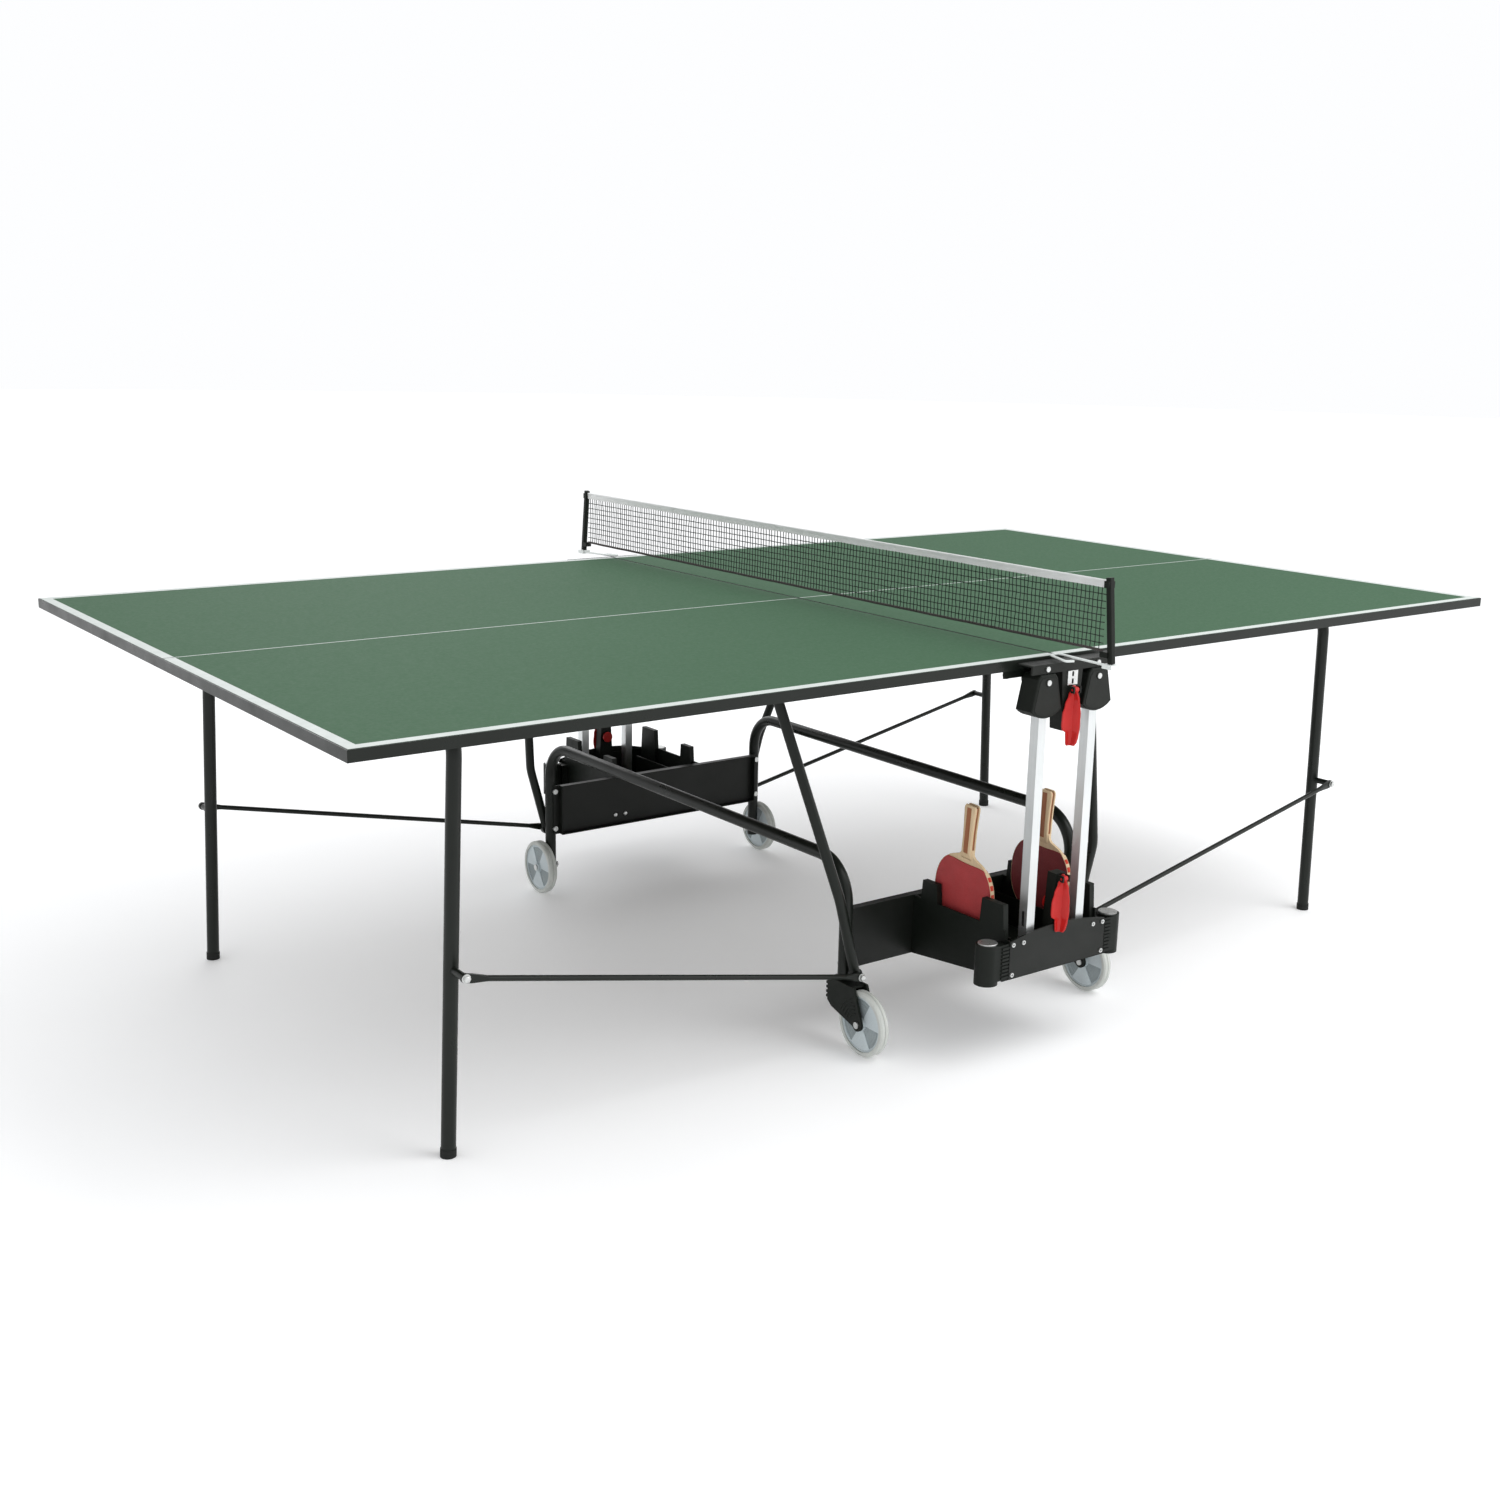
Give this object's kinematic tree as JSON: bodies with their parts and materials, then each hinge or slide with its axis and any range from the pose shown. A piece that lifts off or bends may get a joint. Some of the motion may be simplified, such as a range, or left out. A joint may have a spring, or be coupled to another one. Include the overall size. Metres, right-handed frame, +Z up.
{
  "type": "table tennis table",
  "caption": "Folding table tennis table: two green playing halves on a rolling trolley with guide posts, braced leg frames, net, lock levers and bat trays.",
  "frame": {"origin": "on the floor under the middle of the net", "axes": "+X along the table's length, +Y across it towards the fixed wheels, +Z up"},
  "size_m": [2.74, 1.8, 0.9146],
  "materials": {
    "playing_surface": "green lacquered board, satin",
    "black_steel": "black powder coat",
    "black_plastic": "moulded black plastic",
    "black_rubber": "matt rubber",
    "silver_aluminium": "anodised extrusion",
    "zinc_steel": "zinc-plated screws and plates",
    "wheel_plastic": "light grey moulded plastic",
    "wheel_tyre": "pale soft tread",
    "red_plastic": "moulded red plastic",
    "net_fabric": "black knotted net",
    "tape_fabric": "white woven tape",
    "white_steel": "white coated wire",
    "bat_wood": "bat blade and handle wood"
  },
  "bodies": {
    "trolley": {"u_tubes": "black_steel", "side_panel_near": "black_steel", "side_panel_far": "black_steel", "tray_near": "black_plastic", "tray_far": "black_plastic", "front_plates": "black_steel", "corner_guards": "black_plastic", "corner_caps": "zinc_steel", "frame_screws": "zinc_steel", "posts": "silver_aluminium", "bridge_near": "black_plastic", "bridge_far": "black_plastic", "strike_plates": "zinc_steel", "lock_towers": "black_plastic", "rear_axles": "zinc_steel", "net": "net_fabric", "net_tape": "tape_fabric", "net_posts": "black_plastic", "net_brackets": "white_steel"},
    "half_left": {"board_left": "playing_surface", "edge_frame_left": "black_steel", "bar_saddles_left": "black_plastic"},
    "slider_left": {"slider_caps_left": "black_plastic", "pivot_pins_left": "zinc_steel"},
    "support_left": {"support_frame_left": "black_steel"},
    "legs_left": {"leg_frame_left": "black_steel", "foot_caps_left": "black_rubber"},
    "brace_left": {"braces_left": "black_steel"},
    "caster_left": {"caster_fork_left": "black_plastic", "caster_axle_left": "zinc_steel"},
    "caster_wheel_left": {"caster_hub_left": "wheel_plastic", "caster_tyre_left": "wheel_tyre"},
    "rear_wheel_left": {"rear_hub_left": "wheel_plastic", "rear_tyre_left": "wheel_tyre"},
    "bat_left": {"bat_left": "bat_wood"},
    "half_right": {"board_right": "playing_surface", "edge_frame_right": "black_steel", "bar_saddles_right": "black_plastic"},
    "slider_right": {"slider_caps_right": "black_plastic", "pivot_pins_right": "zinc_steel"},
    "support_right": {"support_frame_right": "black_steel"},
    "legs_right": {"leg_frame_right": "black_steel", "foot_caps_right": "black_rubber"},
    "brace_right": {"braces_right": "black_steel"},
    "caster_right": {"caster_fork_right": "black_plastic", "caster_axle_right": "zinc_steel"},
    "caster_wheel_right": {"caster_hub_right": "wheel_plastic", "caster_tyre_right": "wheel_tyre"},
    "rear_wheel_right": {"rear_hub_right": "wheel_plastic", "rear_tyre_right": "wheel_tyre"},
    "bat_right": {"bat_right": "bat_wood"},
    "upper_lever_near": {"upper_lever_near": "red_plastic"},
    "lower_lever_near": {"lower_lever_near": "red_plastic"},
    "lock_plunger_near": {"lock_plunger_near": "red_plastic"},
    "upper_lever_far": {"upper_lever_far": "red_plastic"},
    "lower_lever_far": {"lower_lever_far": "red_plastic"},
    "lock_plunger_far": {"lock_plunger_far": "red_plastic"}
  },
  "joints": [
    {"name": "left_slide", "type": "slide", "parent": "trolley", "child": "slider_left", "axis": [0, 0, 1], "range_m": [-0.388, 0]},
    {"name": "left_fold", "type": "hinge", "parent": "slider_left", "child": "half_left", "pos_m": [-0.065, 0, 0.722], "axis": [0, 1, 0], "range_deg": [0, 90]},
    {"name": "left_support_turn", "type": "hinge", "parent": "half_left", "child": "support_left", "pos_m": [-0.42351, 0, 0.728], "axis": [0, 1, 0], "range_deg": [-54.09, 0]},
    {"name": "left_leg_turn", "type": "hinge", "parent": "half_left", "child": "legs_left", "pos_m": [-1.099, 0, 0.728], "axis": [0, 1, 0], "range_deg": [-79.14, 0]},
    {"name": "left_brace_turn", "type": "hinge", "parent": "legs_left", "child": "brace_left", "pos_m": [-1.11461, 0, 0.322], "axis": [0, 1, 0], "range_deg": [0, 77.13]},
    {"name": "right_slide", "type": "slide", "parent": "trolley", "child": "slider_right", "axis": [0, 0, 1], "range_m": [-0.388, 0]},
    {"name": "right_fold", "type": "hinge", "parent": "slider_right", "child": "half_right", "pos_m": [0.065, 0, 0.722], "axis": [0, -1, 0], "range_deg": [0, 90]},
    {"name": "right_support_turn", "type": "hinge", "parent": "half_right", "child": "support_right", "pos_m": [0.42351, 0, 0.728], "axis": [0, -1, 0], "range_deg": [-54.09, 0]},
    {"name": "right_leg_turn", "type": "hinge", "parent": "half_right", "child": "legs_right", "pos_m": [1.099, 0, 0.728], "axis": [0, -1, 0], "range_deg": [-79.14, 0]},
    {"name": "right_brace_turn", "type": "hinge", "parent": "legs_right", "child": "brace_right", "pos_m": [1.11461, 0, 0.322], "axis": [0, -1, 0], "range_deg": [0, 77.13]},
    {"name": "caster_swivel_left", "type": "hinge", "parent": "trolley", "child": "caster_left", "pos_m": [-0.3, -0.55, 0.132], "axis": [0, 0, 1], "continuous": true},
    {"name": "caster_spin_left", "type": "hinge", "parent": "caster_left", "child": "caster_wheel_left", "pos_m": [-0.3, -0.612, 0.0625], "axis": [1, 0, 0], "continuous": true},
    {"name": "rear_spin_left", "type": "hinge", "parent": "trolley", "child": "rear_wheel_left", "pos_m": [-0.325, 0.555, 0.0625], "axis": [1, 0, 0], "continuous": true},
    {"name": "bat_lift_left", "type": "slide", "parent": "trolley", "child": "bat_left", "axis": [0, 0, 1], "range_m": [0, 0.18]},
    {"name": "caster_swivel_right", "type": "hinge", "parent": "trolley", "child": "caster_right", "pos_m": [0.3, -0.55, 0.132], "axis": [0, 0, 1], "continuous": true},
    {"name": "caster_spin_right", "type": "hinge", "parent": "caster_right", "child": "caster_wheel_right", "pos_m": [0.3, -0.612, 0.0625], "axis": [1, 0, 0], "continuous": true},
    {"name": "rear_spin_right", "type": "hinge", "parent": "trolley", "child": "rear_wheel_right", "pos_m": [0.325, 0.555, 0.0625], "axis": [1, 0, 0], "continuous": true},
    {"name": "bat_lift_right", "type": "slide", "parent": "trolley", "child": "bat_right", "axis": [0, 0, 1], "range_m": [0, 0.18]},
    {"name": "upper_lever_near", "type": "hinge", "parent": "trolley", "child": "upper_lever_near", "pos_m": [0, -0.811, 0.704], "axis": [-1, 0, 0], "range_deg": [0, 22], "stiffness_Nm_per_rad": 0.4, "springref_deg": -11.46},
    {"name": "lower_lever_near", "type": "hinge", "parent": "trolley", "child": "lower_lever_near", "pos_m": [0, -0.8146, 0.349], "axis": [-1, 0, 0], "range_deg": [0, 22], "stiffness_Nm_per_rad": 0.4, "springref_deg": -11.46},
    {"name": "plunger_near", "type": "slide", "parent": "trolley", "child": "lock_plunger_near", "axis": [0, -1, 0], "range_m": [0, 0.005]},
    {"name": "upper_lever_far", "type": "hinge", "parent": "trolley", "child": "upper_lever_far", "pos_m": [0, 0.811, 0.704], "axis": [1, 0, 0], "range_deg": [0, 22], "stiffness_Nm_per_rad": 0.4, "springref_deg": -11.46},
    {"name": "lower_lever_far", "type": "hinge", "parent": "trolley", "child": "lower_lever_far", "pos_m": [0, 0.8146, 0.349], "axis": [1, 0, 0], "range_deg": [0, 22], "stiffness_Nm_per_rad": 0.4, "springref_deg": -11.46},
    {"name": "plunger_far", "type": "slide", "parent": "trolley", "child": "lock_plunger_far", "axis": [0, 1, 0], "range_m": [0, 0.005]}
  ],
  "couplings": [
    {"joint": "left_slide", "follows": "left_fold", "m_per_rad": -0.24701},
    {"joint": "left_support_turn", "follows": "left_fold", "ratio": -0.60089},
    {"joint": "left_leg_turn", "follows": "left_fold", "ratio": -0.87924},
    {"joint": "left_brace_turn", "follows": "left_fold", "ratio": 0.85686},
    {"joint": "right_slide", "follows": "right_fold", "m_per_rad": -0.24701},
    {"joint": "right_support_turn", "follows": "right_fold", "ratio": -0.60089},
    {"joint": "right_leg_turn", "follows": "right_fold", "ratio": -0.87924},
    {"joint": "right_brace_turn", "follows": "right_fold", "ratio": 0.85686},
    {"joint": "plunger_near", "follows": "lower_lever_near", "m_per_rad": 0.013022},
    {"joint": "plunger_far", "follows": "lower_lever_far", "m_per_rad": 0.013022}
  ]
}
